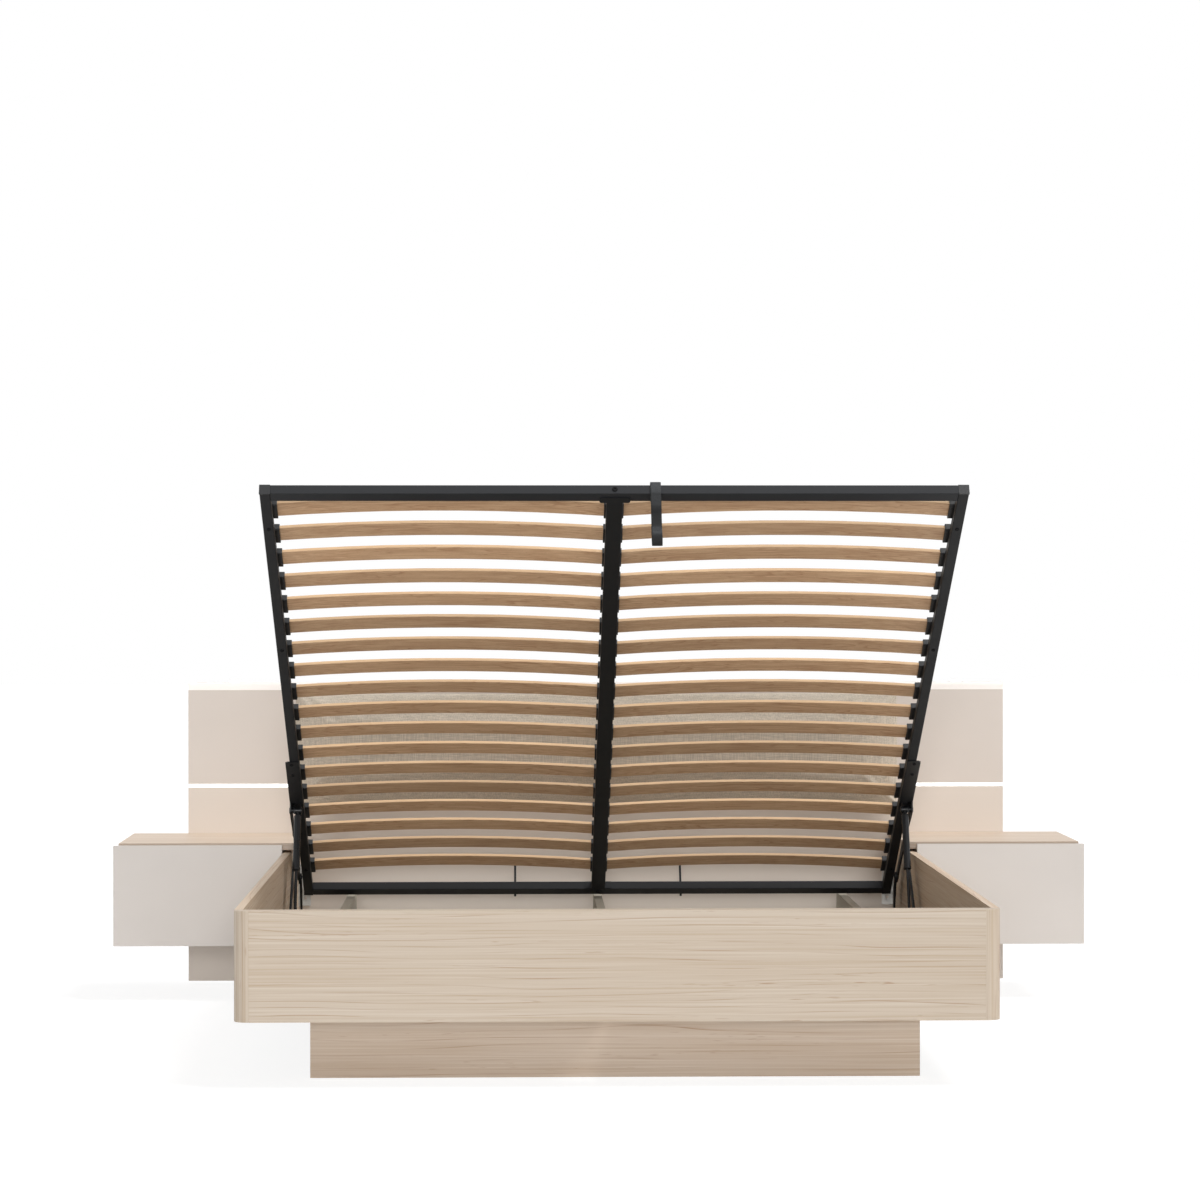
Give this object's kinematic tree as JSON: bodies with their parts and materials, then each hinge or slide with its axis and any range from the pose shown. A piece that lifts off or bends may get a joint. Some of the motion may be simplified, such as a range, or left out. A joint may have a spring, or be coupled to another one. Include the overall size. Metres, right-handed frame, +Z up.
{
  "type": "bed",
  "caption": "Double storage bed with a recessed plinth, wide headboard with a light line and cushion, floating drawer nightstands, and a slatted frame that lifts on arms and gas struts.",
  "frame": {"origin": "on the floor, in the middle of the plan outline", "axes": "+X across the bed, +Y from the foot to the headboard, +Z up; the rest pose has the slatted frame raised"},
  "size_m": [2.58, 2.112, 1.334],
  "materials": {
    "ash_laminate": "pale ash melamine laminate on board, satin, horizontal grain",
    "ash_laminate_inside": "plain board faces inside the box",
    "cashmere_board": "cashmere lacquered board, matt",
    "cashmere_trim": "rounded cashmere edge profile, satin",
    "light_strip": "opal diffuser, lit",
    "light_channel": "anodised channel",
    "back_rest_fabric": "woven beige upholstery",
    "zinc_steel": "zinc plated",
    "black_steel": "black powder coat",
    "black_rod": "dark nitrided rod, polished",
    "beech_slat": "bent beech plywood, satin lacquer",
    "black_plastic": "moulded black plastic",
    "black_webbing": "black woven webbing",
    "drawer_wrap": "pale foil wrapped board"
  },
  "bodies": {
    "root": {"base_bar_left": "black_steel", "base_bar_right": "black_steel", "corner_brackets": "zinc_steel", "corner_posts": "ash_laminate", "foot_panel": "ash_laminate", "headboard_cushion": "back_rest_fabric", "headboard_lower": "cashmere_board", "headboard_trim": "cashmere_trim", "headboard_upper": "cashmere_board", "light_diffuser": "light_strip", "light_profile": "light_channel", "nightstand_backs": "cashmere_board", "nightstand_bottoms": "cashmere_board", "nightstand_inner_sides": "cashmere_board", "nightstand_outer_sides": "cashmere_board", "nightstand_runners": "zinc_steel", "nightstand_top_left": "ash_laminate", "nightstand_top_right": "ash_laminate", "plinth_back": "ash_laminate", "plinth_board_centre": "ash_laminate_inside", "plinth_board_left": "ash_laminate", "plinth_board_right": "ash_laminate", "plinth_front": "ash_laminate", "side_rail_left": "ash_laminate", "side_rail_right": "ash_laminate", "storage_floors": "ash_laminate_inside", "wall_brackets": "zinc_steel"},
    "front_arms": {"front_arm_left": "black_steel", "front_arm_right": "black_steel"},
    "lift_frame": {"side_tube_left": "black_steel", "side_tube_right": "black_steel", "foot_tube": "black_steel", "head_tube": "black_steel", "centre_beam": "black_steel", "beam_plates": "black_steel", "end_caps": "black_plastic", "slats_left": "beech_slat", "slats_right": "beech_slat", "side_slat_holders": "black_plastic", "centre_slat_holders": "black_plastic", "mattress_stop": "black_steel", "pull_strap": "black_webbing", "upper_bar_left": "black_steel", "upper_bar_right": "black_steel"},
    "rear_arms": {"rear_arm_left": "black_steel", "rear_arm_right": "black_steel"},
    "gas_cylinders": {"gas_cylinder_left": "black_steel", "gas_cylinder_right": "black_steel"},
    "gas_rods": {"gas_rod_left": "black_rod", "gas_rod_right": "black_rod"},
    "drawer_left": {"drawer_front_left": "cashmere_board", "drawer_tray_left": "drawer_wrap", "drawer_bottom_left": "drawer_wrap", "drawer_runners_left": "zinc_steel"},
    "drawer_right": {"drawer_front_right": "cashmere_board", "drawer_tray_right": "drawer_wrap", "drawer_bottom_right": "drawer_wrap", "drawer_runners_right": "zinc_steel"}
  },
  "joints": [
    {"name": "lift_arm_pivot", "type": "hinge", "parent": "root", "child": "front_arms", "pos_m": [0, 0.32691, 0.25415], "axis": [1, 0, 0], "range_deg": [-27.36, 0], "stiffness_Nm_per_rad": 95, "springref_deg": 171.89},
    {"name": "frame_on_arm_pivot", "type": "hinge", "parent": "front_arms", "child": "lift_frame", "pos_m": [0, 0.56586, 0.4497], "axis": [1, 0, 0], "range_deg": [0, 59.07]},
    {"name": "rear_arm_pivot", "type": "hinge", "parent": "lift_frame", "child": "rear_arms", "pos_m": [0, 0.78366, 0.31517], "axis": [1, 0, 0], "range_deg": [-74.91, 0]},
    {"name": "gas_strut_pivot", "type": "hinge", "parent": "lift_frame", "child": "gas_cylinders", "pos_m": [0, 0.43278, 0.51778], "axis": [1, 0, 0], "range_deg": [-69.66, 0]},
    {"name": "gas_strut_travel", "type": "slide", "parent": "gas_cylinders", "child": "gas_rods", "axis": [0, -0.4067, -0.9135], "range_m": [-0.1299, 0]},
    {"name": "drawer_left_slide", "type": "slide", "parent": "root", "child": "drawer_left", "axis": [0, -1, 0], "range_m": [0, 0.25]},
    {"name": "drawer_right_slide", "type": "slide", "parent": "root", "child": "drawer_right", "axis": [0, -1, 0], "range_m": [0, 0.25]}
  ],
  "couplings": [
    {"joint": "frame_on_arm_pivot", "follows": "lift_arm_pivot", "ratio": -2.1586},
    {"joint": "rear_arm_pivot", "follows": "lift_arm_pivot", "ratio": 2.7377},
    {"joint": "gas_strut_pivot", "follows": "lift_arm_pivot", "ratio": 2.5457},
    {"joint": "gas_strut_travel", "follows": "lift_arm_pivot", "m_per_rad": 0.27182}
  ]
}
